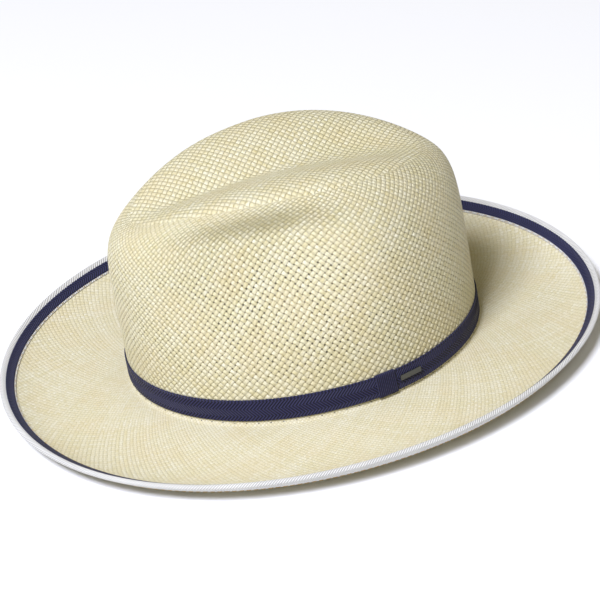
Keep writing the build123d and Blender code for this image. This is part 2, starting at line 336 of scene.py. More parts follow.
def even_scale(face, q0, q1, samples=1200):
    """v along a face, where equal steps of v and t are equal lengths, as the strands run at 45 degrees."""
    q = np.linspace(q0, q1, samples)
    t = np.linspace(0, 2 * math.pi, 97)
    grid = face(t[None, :], q[:, None])
    girth = np.linalg.norm(np.diff(grid, axis=1), axis=-1).sum(1)
    climb = np.linalg.norm(np.diff(grid[:, :-1], axis=0), axis=-1).mean(1)
    v = np.concatenate([[0], np.cumsum(2 * math.pi * climb / ((girth[1:] + girth[:-1]) / 2))])
    return q, v, girth


def zones(face, q0, q1, plan):
    """Rows of each ring zone: (strands, [(q, v)]). plan is [(strands, girth where the zone ends)]."""
    q, v, girth = even_scale(face, q0, q1)
    out, start = [], 0.0
    for strands, end_girth in plan:
        end = v[-1] if end_girth is None else float(np.interp(end_girth, girth, v))
        step = math.pi / (2 * strands)
        rows = max(2, round((end - start) / step / 2) * 2)
        places = start + (end - start) * np.arange(rows + 1) / rows
        out.append((strands, [(float(np.interp(p, v, q)), step * i) for i, p in enumerate(places)]))
        start = end
    return out


def skin_rows(shell, face, plan, depth, outer, relief, openness):
    """Adds every row of one side. Returns the rows with their zone data, pole first."""
    made = []
    for index, (strands, places) in enumerate(plan):
        ratio = 4 if outer else 2
        count = ratio * strands
        keep = places if outer else places[::2]
        last = index == len(plan) - 1
        for q, v in keep if last else keep[:-1]:
            t = 2 * math.pi * np.arange(count) / count
            p, _, n = frame_at(face, t, np.full(count, q))
            a, b = strands * (t + v) / (2 * math.pi), strands * (t - v) / (2 * math.pi)
            if q < LEVEL_END:
                a, b = np.moveaxis(level_strands(p), -1, 0)
            h = weave_height(a, b)
            opened = openness(p)
            deep = relief(p, opened)
            if outer:
                p = p + n * ((h - 0.75) * deep)[:, None]
            else:
                p = p - n * (depth + (h - 0.75) * 0.5 * deep)[:, None]
            made.append((shell.row(p, opened), strands, v, q))
    return made


def join_rows(shell, made, outer):
    for (row_a, strands, va, _), (row_b, next_strands, vb, q) in zip(made, made[1:]):
        v2 = vb if strands == next_strands else va + math.pi / (2 * strands)
        shell.level = q < LEVEL_END
        if outer:
            shell.join(row_a, row_b, strands, va, v2)
        else:
            shell.join(row_b, row_a, strands, v2, va)


def crown_openness(p):
    """How far the weave is stretched open: most on the pinched sides, least on the top."""
    level = np.exp(-(((p[:, 2] - 60) / 42) ** 4))
    pinched = 0.62 + 0.38 * np.exp(-(((p[:, 1] + 25) / 55) ** 2))
    return np.clip(1.1 * level * pinched, 0.15, 1)


def crown_relief(p, opened):
    return 0.19 + 0.22 * opened


def brim_relief(p, opened):
    return np.full(len(p), 0.26)


def woven_crown(seam_z):
    """The crown, down to a seam hidden under the band."""
    shell = Shell()
    q_seam = 2 - (seam_z - FOOT_R) / CROWN_H / CORNER
    girths = even_scale(crown, 0.05, q_seam)[2]
    full, few = girths.max(), CROWN_STRANDS // 4
    plan = zones(crown, 0.05, q_seam, [(few, full / 6), (2 * few, full / 3), (4 * few, None)])
    outer = skin_rows(shell, crown, plan, 0, True, crown_relief, crown_openness)
    inner = skin_rows(shell, crown, plan, STRAW_T, False, crown_relief, crown_openness)
    join_rows(shell, outer, True)
    join_rows(shell, inner, False)
    shell.join(outer[-1][0], inner[-1][0], CROWN_STRANDS, outer[-1][2], outer[-1][2] + 0.02)
    middle = shell.points[0].mean(0)
    shell.level = True
    shell.cap(outer[0][0], middle, few // 2, True)
    shell.cap(inner[0][0], middle - np.array([0, 0, STRAW_T]), few // 2, False)
    return shell.build("straw_crown")


def brim_with_collar(t, q):
    """The brim with a short upright collar that runs up behind the band: q below 0 climbs the crown."""
    t, q = np.broadcast_arrays(np.asarray(t, float), np.asarray(q, float))
    up = crown(t, 2 + np.minimum(q, 0))
    flat = brim(t, np.clip(q, 0, None))
    return np.where((q < 0)[..., None], up, flat)


def woven_brim(seam_z):
    """The brim, from its collar behind the band to the bound edge, as a closed ring."""
    shell = Shell()
    q_top = -(seam_z - FOOT_R) / CROWN_H / CORNER
    plan = zones(brim_with_collar, q_top, 1 - 1e-3, [(BRIM_STRANDS, None)])
    rows = []
    for outer in (True, False):
        made = []
        strands, places = plan[0]
        count = (4 if outer else 2) * strands
        for q, v in places if outer else places[::2]:
            t = 2 * math.pi * np.arange(count) / count
            e = 2e-3
            p = brim_with_collar(t, np.full(count, q))
            lower, upper = np.full(count, min(q + e, 1)), np.full(count, q - e)
            down = unit(brim_with_collar(t, lower) - brim_with_collar(t, upper))
            around = brim_with_collar(t + e, np.full(count, q)) - brim_with_collar(t - e, np.full(count, q))
            n = unit(np.cross(down, around))
            h = weave_height(strands * (t + v) / (2 * math.pi), strands * (t - v) / (2 * math.pi))
            fade = 1 if q < 0.97 else 0.2
            off = (h - 0.75) * 0.26 * fade if outer else -STRAW_T - (h - 0.75) * 0.13
            row = shell.row(p + n * np.broadcast_to(off, count)[:, None], np.full(count, 0.12))
            made.append((row, strands, v, 1 + q))
        rows.append(made)
    join_rows(shell, rows[0], True)
    join_rows(shell, rows[1], False)
    shell.join(rows[0][-1][0], rows[1][-1][0], BRIM_STRANDS, rows[0][-1][2], rows[0][-1][2] + 0.01)
    shell.join(rows[1][0][0], rows[0][0][0], BRIM_STRANDS, -0.01, 0.0)
    return shell.build("straw_brim")


# ---------------------------------------------------------------- materials


class Nodes:
    """Short calls for building a node tree."""

    def __init__(self, name):
        self.material = bpy.data.materials.new(name)
        self.material.use_nodes = True
        self.tree = self.material.node_tree
        self.shader = self.tree.nodes["Principled BSDF"]

    def new(self, kind, **settings):
        node = self.tree.nodes.new(kind)
        for key, value in settings.items():
            setattr(node, key, value)
        return node

    def link(self, source, socket):
        self.tree.links.new(source, socket)

    def feed(self, socket, value):
        if isinstance(value, bpy.types.NodeSocket):
            self.link(value, socket)
        else:
            socket.default_value = value

    def math(self, op, a, b=0.0, c=0.0):
        node = self.new("ShaderNodeMath", operation=op)
        for socket, value in zip(node.inputs, (a, b, c)):
            self.feed(socket, value)
        return node.outputs[0]

    def ramp(self, value, low, high, smooth=True):
        """0 below low and 1 above high."""
        node = self.new("ShaderNodeMapRange", interpolation_type="SMOOTHSTEP" if smooth else "LINEAR")
        self.feed(node.inputs["Value"], value)
        node.inputs["From Min"].default_value = low
        node.inputs["From Max"].default_value = high
        return node.outputs["Result"]

    def mix(self, factor, a, b):
        """Between two colours or two values."""
        value = isinstance(a, (int, float)) or (isinstance(a, bpy.types.NodeSocket) and a.type == "VALUE")
        node = self.new("ShaderNodeMix", data_type="FLOAT" if value else "RGBA")
        ins = [s for s in node.inputs if s.enabled]
        self.feed(ins[0], factor)
        for socket, part in zip(ins[1:], (a, b)):
            self.feed(socket, (*part, 1.0) if isinstance(part, tuple) and len(part) == 3 else part)
        return [s for s in node.outputs if s.enabled][0]

    def vector(self, x, y, z=0.0):
        node = self.new("ShaderNodeCombineXYZ")
        for socket, value in zip(node.inputs, (x, y, z)):
            self.feed(socket, value)
        return node.outputs[0]

    def noise(self, vector, scale, detail=2.0):
        node = self.new("ShaderNodeTexNoise")
        self.link(vector, node.inputs["Vector"])
        node.inputs["Scale"].default_value = scale
        node.inputs["Detail"].default_value = detail
        return node.outputs["Fac"]

    def random(self, value):
        node = self.new("ShaderNodeTexWhiteNoise", noise_dimensions="1D")
        self.feed(node.inputs["W"], value)
        return node.outputs["Value"]

    def place(self):
        return self.new("ShaderNodeTexCoord").outputs["Object"]

    def uv(self):
        node = self.new("ShaderNodeUVMap", uv_map="strands")
        split = self.new("ShaderNodeSeparateXYZ")
        self.link(node.outputs[0], split.inputs[0])
        return split.outputs[0], split.outputs[1]

    def attribute(self, name):
        return self.new("ShaderNodeAttribute", attribute_name=name).outputs["Fac"]

    def bump(self, height, distance, strength=1.0):
        node = self.new("ShaderNodeBump")
        self.link(height, node.inputs["Height"])
        node.inputs["Distance"].default_value = distance
        node.inputs["Strength"].default_value = strength
        self.link(node.outputs[0], self.shader.inputs["Normal"])

    def set(self, **values):
        names = {
            "colour": "Base Color",
            "rough": "Roughness",
            "metal": "Metallic",
            "sheen": "Sheen Weight",
            "sheen_rough": "Sheen Roughness",
            "specular": "Specular IOR Level",
        }
        for key, value in values.items():
            value = (*value, 1.0) if isinstance(value, tuple) and len(value) == 3 else value
            self.feed(self.shader.inputs[names[key]], value)
        return self.material


def tone(colour, factor):
    return tuple(c * factor for c in colour)


def straw_material(name, base, gap_shade, depth):
    """Plain weave of split straw: strands that pass over and under, each with its own tone and fibres."""
    n = Nodes(name)
    a, b = n.uv()
    cell_a, cell_b = n.math("FLOOR", a), n.math("FLOOR", b)
    fa = n.math("SUBTRACT", n.math("SUBTRACT", a, cell_a), 0.5)
    fb = n.math("SUBTRACT", n.math("SUBTRACT", b, cell_b), 0.5)
    a_top = n.math("LESS_THAN", n.math("FLOORED_MODULO", n.math("ADD", cell_a, cell_b), 2.0), 0.5)
    id_a, id_b = n.random(n.math("ADD", cell_a, 0.37)), n.random(n.math("ADD", cell_b, 1900.71))
    opened = n.attribute("openness")
    corner = n.vector(n.math("ROUND", a), n.math("ROUND", b), 4.5)
    loose = n.new("ShaderNodeTexWhiteNoise", noise_dimensions="3D")
    n.link(corner, loose.inputs["Vector"])
    slack = n.math("MULTIPLY", opened, n.math("MULTIPLY_ADD", loose.outputs["Value"], 0.10, 0.05))
    half_a = n.math("SUBTRACT", n.math("MULTIPLY_ADD", id_a, 0.04, 0.44), slack)
    half_b = n.math("SUBTRACT", n.math("MULTIPLY_ADD", id_b, 0.04, 0.44), slack)
    abs_a, abs_b = n.math("ABSOLUTE", fa), n.math("ABSOLUTE", fb)
    soft_a = n.ramp(n.math("SUBTRACT", abs_a, half_a), 0.035, -0.02)
    soft_b = n.ramp(n.math("SUBTRACT", abs_b, half_b), 0.035, -0.02)
    top_cover = n.mix(a_top, soft_b, soft_a)
    under_cover = n.mix(a_top, soft_a, soft_b)
    along_a = n.vector(n.math("MULTIPLY", a, 11.0), n.math("MULTIPLY", b, 0.55), 3.0)
    along_b = n.vector(n.math("MULTIPLY", b, 11.0), n.math("MULTIPLY", a, 0.55), 9.0)
    streak_a, streak_b = n.noise(along_a, 1.0, 3.0), n.noise(along_b, 1.0, 3.0)
    place = n.place()
    patch, broad = n.noise(place, 55.0, 3.0), n.noise(place, 14.0, 2.0)

    def strand(identity, streak):
        pale = (base[0] * 1.05, base[1] * 1.07, base[2] * 1.16)
        warm = n.mix(identity, tone((base[0], base[1] * 0.98, base[2] * 0.88), 0.94), pale)
        dark = tone((base[0], base[1] * 0.93, base[2] * 0.66), 0.80)
        return n.mix(n.ramp(streak, 0.34, 0.60), dark, warm)

    colour_a, colour_b = strand(id_a, streak_a), strand(id_b, streak_b)
    top = n.mix(a_top, colour_b, colour_a)
    # Painted shade: the strand passing under is darkened toward the gap shade colour, the top strand darkens
    # toward its edges, and the holes are painted nearly black, darker where the weave is more open.
    under = n.mix(0.42, n.mix(a_top, colour_a, colour_b), gap_shade)
    across = n.mix(a_top, abs_b, abs_a)
    shaded = n.mix(n.math("MULTIPLY", n.ramp(across, 0.22, 0.44), 0.33), top, gap_shade)
    hole_shade = n.mix(n.math("MULTIPLY_ADD", opened, 0.7, 0.3), gap_shade, tone(gap_shade, 0.06))
    weave = n.mix(top_cover, n.mix(under_cover, hole_shade, under), shaded)
    aged, sunned = n.mix(0.5, weave, (0.62, 0.46, 0.20)), n.ramp(broad, 0.35, 0.7)
    stain = n.mix(n.math("MULTIPLY", n.ramp(patch, 0.42, 0.66), 0.30), weave, aged)
    final = n.mix(n.math("MULTIPLY", sunned, 0.18), stain, n.mix(0.5, stain, (0.80, 0.72, 0.50)))
    crest_a = n.math("SUBTRACT", 1.0, n.math("POWER", n.math("MULTIPLY", abs_a, 2.0), 3.0))
    crest_b = n.math("SUBTRACT", 1.0, n.math("POWER", n.math("MULTIPLY", abs_b, 2.0), 3.0))
    wave_a = n.math("COSINE", n.math("MULTIPLY", fb, math.pi))
    wave_b = n.math("COSINE", n.math("MULTIPLY", fa, math.pi))
    crest = n.mix(a_top, n.math("MULTIPLY", crest_b, wave_b), n.math("MULTIPLY", crest_a, wave_a))
    fine = n.mix(a_top, streak_b, streak_a)
    raised = n.math("MULTIPLY", n.math("MULTIPLY_ADD", crest, 0.7, 0.3), top_cover)
    height = n.math("MULTIPLY_ADD", fine, 0.22, raised)
    n.bump(height, depth, 1.0)
    rough = n.math("MULTIPLY_ADD", fine, 0.25, 0.40)
    return n.set(colour=final, rough=rough, specular=0.45, sheen=0.05, sheen_rough=0.4)


def ribbon_material(name, dark, light, pattern, depth, rough=0.62, sheen=0.35):
    """Woven ribbon. pattern(n, u, s) gives the height of its ribs from the length and the width in mm."""
    n = Nodes(name)
    u, s = n.uv()
    rib = pattern(n, u, s)
    yarn = n.noise(n.vector(n.math("MULTIPLY", u, 3.0), n.math("MULTIPLY", s, 9.0)), 1.0, 2.0)
    wear = n.noise(n.place(), 60.0, 3.0)
    # Painted shade and highlight: the colour is darker in the rib grooves and lighter on the rib crests,
    # following the same ribs as the bump.
    colour = n.mix(n.ramp(rib, 0.15, 0.9), dark, light)
    colour = n.mix(n.math("MULTIPLY", yarn, 0.22), colour, light)
    colour = n.mix(n.math("MULTIPLY", n.ramp(wear, 0.45, 0.75), 0.12), colour, tone(light, 1.25))
    n.bump(n.math("MULTIPLY_ADD", yarn, 0.25, rib), depth, 0.9)
    matt = n.math("MULTIPLY_ADD", yarn, 0.2, rough - 0.1)
    return n.set(colour=colour, rough=matt, sheen=sheen, sheen_rough=0.45, specular=0.3)


def wave(n, value, period):
    """Smooth ribs from 0 to 1."""
    turn = n.math("MULTIPLY", value, 2 * math.pi / period)
    return n.math("MULTIPLY_ADD", n.math("SINE", turn), 0.5, 0.5)


def herringbone(n, u, s):
    return wave(n, n.math("ADD", u, n.math("PINGPONG", s, RIB_ZONE)), RIB_STEP)


def chevrons(n, u, s):
    return wave(n, n.math("ADD", u, n.math("PINGPONG", s, STRIPE_W / 2)), 1.6)


def cross_ribs(n, u, s):
    return wave(n, u, 1.1)


def length_ribs(n, u, s):
    return wave(n, s, 0.9)


def diagonal_ribs(n, u, s):
    return wave(n, n.math("ADD", u, n.math("MULTIPLY", s, 0.9)), 1.5)


def leather_material(name, base):
    n = Nodes(name)
    place = n.place()
    cells = n.new("ShaderNodeTexVoronoi", feature="DISTANCE_TO_EDGE")
    n.link(place, cells.inputs["Vector"])
    cells.inputs["Scale"].default_value = 900.0
    pores = n.ramp(cells.outputs["Distance"], 0.0, 0.12)
    crease, broad = n.noise(place, 260.0, 4.0), n.noise(place, 30.0, 3.0)
    colour = n.mix(n.ramp(broad, 0.3, 0.7), tone(base, 0.8), tone(base, 1.25))
    colour = n.mix(pores, tone(base, 0.5), colour)
    n.bump(n.math("MULTIPLY_ADD", crease, 0.5, pores), 0.00012, 0.7)
    return n.set(colour=colour, rough=n.math("MULTIPLY_ADD", crease, 0.3, 0.32), specular=0.45)


def metal_material(name, base, rough, grain):
    n = Nodes(name)
    stretched = n.new("ShaderNodeMapping")
    n.link(n.place(), stretched.inputs["Vector"])
    stretched.inputs["Scale"].default_value = grain
    brush, broad = n.noise(stretched.outputs[0], 1.0, 4.0), n.noise(n.place(), 300.0, 2.0)
    colour = n.mix(brush, tone(base, 0.8), tone(base, 1.2))
    n.bump(brush, 0.00002, 0.5)
    worn = n.mix(n.math("MULTIPLY", broad, 0.3), colour, tone(base, 0.65))
    return n.set(colour=worn, metal=1.0, rough=n.math("MULTIPLY_ADD", brush, 0.22, rough))


def plastic_material(name, base):
    n = Nodes(name)
    marks = n.noise(n.place(), 400.0, 3.0)
    n.bump(marks, 0.00003, 0.4)
    return n.set(colour=n.mix(marks, tone(base, 0.9), base), rough=n.math("MULTIPLY_ADD", marks, 0.2, 0.35))


def thread_material(name, base):
    n = Nodes(name)
    u, s = n.uv()
    twist = wave(n, n.math("ADD", u, s), 0.5)
    fuzz = n.noise(n.place(), 2500.0, 2.0)
    n.bump(twist, 0.00006, 0.8)
    # Painted shade: the thread is darker in the twist's grooves, where its bump is low.
    colour = n.mix(twist, tone(base, 0.6), base)
    return n.set(colour=n.mix(n.math("MULTIPLY", fuzz, 0.4), colour, tone(base, 1.2)), rough=0.7, sheen=0.3)


# ---------------------------------------------------------------- pieces


def thread_row(name, point, count, length, radius):
    """Row of short thread stitches. point(t, d) is on the surface they lie on, d above it."""
    rings, sides = 7, 6
    t = 2 * math.pi * (np.arange(count) + 0.5) / count
    p = point(t, 0.0)
    along = unit(point(t + 1e-3, 0.0) - point(t - 1e-3, 0.0))
    up = unit(point(t, 1.0) - p)
    side = np.cross(up, along)
    turn = np.radians(rng.uniform(-7, 7, count))[:, None]
    along, side = along * np.cos(turn) + side * np.sin(turn), side * np.cos(turn) - along * np.sin(turn)
    verts, polys, uvs = [], [], []
    for i in range(count):
        base = len(verts)
        long = length * rng.uniform(0.9, 1.06)
        for k in range(rings):
            w = k / (rings - 1) * 2 - 1
            r = radius * math.sqrt(max(1 - abs(w) ** 4, 0.04))
            centre = p[i] + along[i] * long / 2 * w + up[i] * (radius * 0.85 * (1 - 0.9 * w**4))
            for a in range(sides):
                g = 2 * math.pi * a / sides
                verts.append(centre + side[i] * r * math.cos(g) + up[i] * r * math.sin(g))
        for k in range(rings - 1):
            for a in range(sides):
                a2 = (a + 1) % sides
                near, far = base + k * sides, base + (k + 1) * sides
                polys.append([near + a, near + a2, far + a2, far + a])
                lo, hi = long * k / (rings - 1), long * (k + 1) / (rings - 1)
                uvs += [(lo, a / sides), (lo, (a + 1) / sides), (hi, (a + 1) / sides), (hi, a / sides)]
        polys.append([base + a for a in range(sides)][::-1])
        polys.append([base + (rings - 1) * sides + a for a in range(sides)])
        uvs += [(0, 0)] * (2 * sides)
    return make_object(name, verts, polys, uvs)


def patch(name, t_mid, width, section, steps, relief=None):
    """Short curved strip on the crown's side, from a closed section of (height, distance) points."""
    half = width / 2 / outline_step(t_mid)
    t = np.linspace(t_mid - half, t_mid + half, steps + 1)
    section = np.asarray(section, float)
    m = len(section)
    lengths = np.concatenate([[0], np.cumsum(np.linalg.norm(np.roll(section, -1, 0) - section, axis=1))])
    z, d = section[None, :, 0] + 0 * t[:, None], section[None, :, 1] + 0 * t[:, None]
    if relief is not None:
        u = (t - t[0])[:, None] * outline_step(t_mid)
        middle = section.mean(0)
        push = np.sign(section[:, 1] - middle[1])[None, :]
        d = d + push * relief(u, lengths[None, :-1])
    verts = wall(t[:, None], z, d).reshape(-1, 3)
    i, j = np.meshgrid(np.arange(steps), np.arange(m), indexing="ij")
    j2 = (j + 1) % m
    quads = np.stack([i * m + j, (i + 1) * m + j, (i + 1) * m + j2, i * m + j2], -1).reshape(-1, 4)
    u0, u1 = width * i / steps, width * (i + 1) / steps
    across = np.stack([lengths[j], lengths[j], lengths[j + 1], lengths[j + 1]], -1)
    uv = np.stack([np.stack([u0, u1, u1, u0], -1), across], -1)
    polys, uvs = quads.tolist(), uv.reshape(-1, 2).tolist()
    polys += [list(range(m))[::-1], [steps * m + k for k in range(m)]]
    uvs += [(0, lengths[k]) for k in range(m)][::-1] + [(width, lengths[k]) for k in range(m)]
    obj = make_object(name, verts, polys, uvs)
    return face_out(obj)


def face_out(obj):
    """Turns the faces of a closed mesh outward."""
    mesh = bmesh.new()
    mesh.from_mesh(obj.data)
    bmesh.ops.recalc_face_normals(mesh, faces=mesh.faces)
    mesh.to_mesh(obj.data)
    mesh.free()
    return obj


def make_straw():
    # The second colour is painted shade for the gaps and holes between the strands, paler on the brim's
    # tighter weave.
    material = straw_material("straw", (0.755, 0.715, 0.52), (0.27, 0.22, 0.07), 0.0006)
    fine = straw_material("straw_fine", (0.745, 0.705, 0.545), (0.46, 0.405, 0.21), 0.00022)
    crown_piece = face_out(woven_crown(STRAW_SEAM))
    brim_piece = face_out(woven_brim(STRAW_SEAM - 0.05))
    finish_piece(crown_piece, material, ["straw_body"])
    finish_piece(brim_piece, fine, ["straw_body"])
    return crown_piece, brim_piece


def make_band():
    def ribs(u, s):
        zig = np.abs((s / RIB_ZONE + 1) % 2 - 1) * RIB_ZONE
        return 0.06 * np.sin(2 * math.pi * (u + zig) / RIB_STEP)

    section = strip_section(BAND_LOW, BAND_LOW + BAND_H, 0.0, BAND_T, 0.42)
    obj = hoop("ribbon_band", band_point, section, 0.42, ribs)
    # dark is painted shade for the rib grooves; light is the painted highlight of the rib crests and also
    # tints the yarn flecks and worn patches.
    dark, light = (0.0015, 0.0015, 0.007), (0.030, 0.030, 0.100)
    navy = ribbon_material("band_ribbon", dark, light, herringbone, 0.0005, 0.66, 0.06)
    finish_piece(obj, navy, ["hat_band"])

    low, high = BAND_LOW - 0.65, BAND_LOW + BAND_H + 0.65
    near, leaf = 0.16, 0.44
    far = BAND_GAP + BAND_LIFT + BAND_T + 0.12 + KEEPER_T
    outside = strip_section(low, high, near, far, 0.4)
    inside = strip_section(low + leaf, high - leaf, near + leaf, far - KEEPER_T, 0.4)
    loop = keeper_loop(outside, inside)
    ribbed = ribbon_material("keeper_ribbon", dark, light, cross_ribs, 0.0004, 0.66, 0.06)
    finish_piece(loop, ribbed, ["band_keeper"])
    return obj, loop


def keeper_loop(outside, inside):
    """Ribbon loop round the band: an outer and an inner tube joined at both ends, with ribs across."""
    steps = 34
    half = KEEPER_W / 2 / outline_step(KEEPER_ANGLE)
    t = np.linspace(KEEPER_ANGLE - half, KEEPER_ANGLE + half, steps + 1)
    u = (t - t[0]) * outline_step(KEEPER_ANGLE)
    count = len(outside)
    pick = np.linspace(0, len(inside), count, endpoint=False)
    loops = [np.asarray(outside), np.asarray([inside[int(p) % len(inside)] for p in pick])]
    rib = 0.05 * np.sin(2 * math.pi * u / 1.1)[:, None]
    swell = 0.10 * np.exp(-((np.minimum(u, u[-1] - u) / 1.0) ** 2))[:, None]
    sheets = []
    for k, loop in enumerate(loops):
        middle = loop.mean(0)
        away = unit(loop - middle)
        lift = (rib + swell) if k == 0 else 0 * rib
        keep = (loop[:, 1] > 1.0)[None, :]
        z = loop[None, :, 0] + 0 * lift
        d = loop[None, :, 1] + lift * away[None, :, 1] * keep
        sheets.append(wall(t[:, None], z, d).reshape(-1, 3))
    verts = np.concatenate(sheets)
    m, shift = count, len(sheets[0])
    polys, uvs = [], []
    for k in range(2):
        for i in range(steps):
            for j in range(m):
                j2 = (j + 1) % m
                corners = (i * m + j, (i + 1) * m + j, (i + 1) * m + j2, i * m + j2)
                polys.append([k * shift + x for x in corners])
                low, high = j * 0.4, j * 0.4 + 0.4
                uvs += [(u[i], low), (u[i + 1], low), (u[i + 1], high), (u[i], high)]
    for i in (0, steps):
        for j in range(m):
            j2 = (j + 1) % m
            polys.append([i * m + j, i * m + j2, shift + i * m + j2, shift + i * m + j])
            uvs += [(u[i], j * 0.4)] * 4
    return face_out(make_object("ribbon_keeper", verts, polys, uvs))


def make_binding():
    inside, outside, middle = TAPE_IN, TAPE_OUT, 0.87
    loop = [(-5.4, outside), (-0.2, outside)] + arc(middle, 0, outside, 90, -90, 14)
    loop += [(-0.2, -outside), (-6.6, -outside), (-6.75, -outside + 0.3), (-6.6, -inside), (-0.2, -inside)]
    loop += arc(middle, 0, inside, -90, 90, 6) + [(-0.2, inside), (-5.4, inside), (-5.55, inside + 0.3)]

    def ribs(u, s):
        return 0.07 * np.sin(2 * math.pi * (u + 0.9 * s) / 1.5) * (s < 17.5)

    tape = hoop("edge_tape", edge_point, lined(loop, 0.55), 0.5, ribs)
    shade, pale = (0.46, 0.455, 0.44), (0.83, 0.82, 0.78)
    white = ribbon_material("white_tape", shade, pale, diagonal_ribs, 0.0004, 0.6, 0.1)
    finish_piece(tape, white, ["binding_tape"])
    low = outside + 0.04

    def picot(u, s):
        edge = (s < 0.2) | (np.abs(s - STRIPE_W) < 0.5)
        return 0.05 * np.sin(2 * math.pi * u / 1.1) + 0.10 * edge * np.sin(2 * math.pi * u / 2.2)

    near, far = -STRIPE_IN, -STRIPE_IN - STRIPE_W
    middle, high = low + STRIPE_T / 2, low + STRIPE_T
    corners = [(far, low), (near, low), (near + 0.1, middle), (near, high), (far, high), (far - 0.1, middle)]
    section = lined(corners, 0.5)
    stripe = hoop("edge_stripe", edge_point, section, 0.36, picot)
    # dark is painted shade for the rib grooves; light is the painted highlight of the rib crests and also
    # tints the yarn flecks and worn patches.
    dark, light = (0.0015, 0.0015, 0.007), (0.030, 0.032, 0.100)
    navy = ribbon_material("navy_stripe", dark, light, chevrons, 0.0004, 0.6, 0.05)
    finish_piece(stripe, navy, ["binding_stripe"])
    return tape, stripe


def make_leather():
    near, far = LEATHER_IN + LEATHER_T, LEATHER_IN

    def soft(u, s):
        return 0.14 * np.sin(u / 23.0) * np.sin(s / 7.0 + 1.0) + 0.05 * np.sin(u / 5.1 + s / 3.0)

    section = strip_section(0.2, LEATHER_H, far, near, 1.6)
    obj = hoop("leather_band", wall, section, 1.8, soft)
    finish_piece(obj, leather_material("leather", (0.30, 0.155, 0.075)), ["sweatband"])

    z, d = -1.1, LEATHER_IN + LEATHER_T / 2
    hook = [(z + v, d + u) for u, v in arc(0, 0, REED_R + 0.42, 0, -180, 10)]
    hook += [(z + v, d + u) for u, v in arc(0, 0, REED_R + 0.1, -180, 0, 8)]
    leaf = LEATHER_IN + LEATHER_T + 0.15
    loop = [(6.5, leaf + 0.32)] + hook + [(6.5, leaf)]
    tape = hoop("reed_cover", wall, lined(loop, 0.7), 1.4, lambda u, s: 0.03 * np.sin(2 * math.pi * u / 2.8))
    cotton = ribbon_material("cotton_tape", (0.05, 0.028, 0.016), (0.13, 0.08, 0.05), length_ribs, 0.00012)
    finish_piece(tape, cotton, ["reed_tape"])
    return obj, tape


def make_inside_trim():
    section = strip_section(13, 25, LEATHER_IN - 0.27, LEATHER_IN - 0.05, 0.8)
    label = patch("blank_label", math.radians(150), 24, section, 30)
    cloth = ribbon_material("label_fabric", (0.66, 0.64, 0.58), (0.86, 0.84, 0.78), length_ribs, 0.00008)
    finish_piece(label, cloth, ["size_label"])
    section = strip_section(13, 32, LEATHER_IN - 0.42, LEATHER_IN - 0.16, 0.8)
    seam = patch("seam_strip", math.pi, 9, section, 14)
    finish_piece(seam, leather_material("seam_leather", (0.24, 0.12, 0.06)), ["seam_tape"])
    satin = ribbon_material("bow_ribbon", (0.10, 0.055, 0.03), (0.24, 0.15, 0.09), cross_ribs, 0.00006, 0.45)
    bow = bow_loops()
    finish_piece(bow, satin, ["back_bow"])
    knot = bow_knot()
    finish_piece(knot, satin, ["bow_knot"])
    return label, seam, bow, knot


def bow_frame():
    """Middle of the bow and its directions: along the band, up, and toward the middle of the hat."""
    middle = wall(math.pi, 8.6, LEATHER_IN - 3.1)
    return middle, np.array([1.0, 0, 0]), np.array([0, 0, 1.0]), np.array([0, -1.0, 0])


def bow_loops():
    """Two flattened ribbon loops, gathered where they meet the knot."""
    middle, along, up, inward = bow_frame()
    turns, across = 44, 9
    verts, polys, uvs = [], [], []
    for side in (-1, 1):
        base = len(verts)
        for layer in (0.0, 1.0):
            for k in range(turns):
                a = 2 * math.pi * k / turns
                x = 1.95 + 5.5 * (1 - math.cos(a))
                fat = 1.25 - 0.45 * layer
                deep = fat * math.sin(a) * (0.55 + 0.45 * min(1.0, (x - 1.9) / 5))
                x -= 0.45 * layer * (x - 1.95) / 11 - 0.25 * layer * (1 - (x - 1.95) / 11)
                tall = 2.2 * (0.62 + 0.38 * min(1.0, (x - 1.9) / 4.5))
                for j in range(across):
                    w = 2 * j / (across - 1) - 1
                    pleat = 0.12 * math.sin(w * 7) * math.exp(-(x - 1.95) / 2.5)
                    fold = inward * (deep + pleat * (1 - layer))
                    verts.append(middle + along * side * x + up * tall * w + fold)
        ring = turns * across
        for layer in (0, 1):
            for k in range(turns):
                for j in range(across - 1):
                    k2 = (k + 1) % turns
                    q = [k * across + j, k2 * across + j, k2 * across + j + 1, k * across + j + 1]
                    polys.append([base + layer * ring + x for x in q])
                    u, s = k * 0.5, j * 0.5
                    uvs += [(u, s), (u + 0.5, s), (u + 0.5, s + 0.5), (u, s + 0.5)]
        for j in (0, across - 1):
            for k in range(turns):
                k2 = (k + 1) % turns
                first, second = base + k * across + j, base + k2 * across + j
                polys.append([first, second, ring + second, ring + first])
                uvs += [(k * 0.5, 0)] * 4
    return face_out(make_object("bow_loops", verts, polys, uvs))


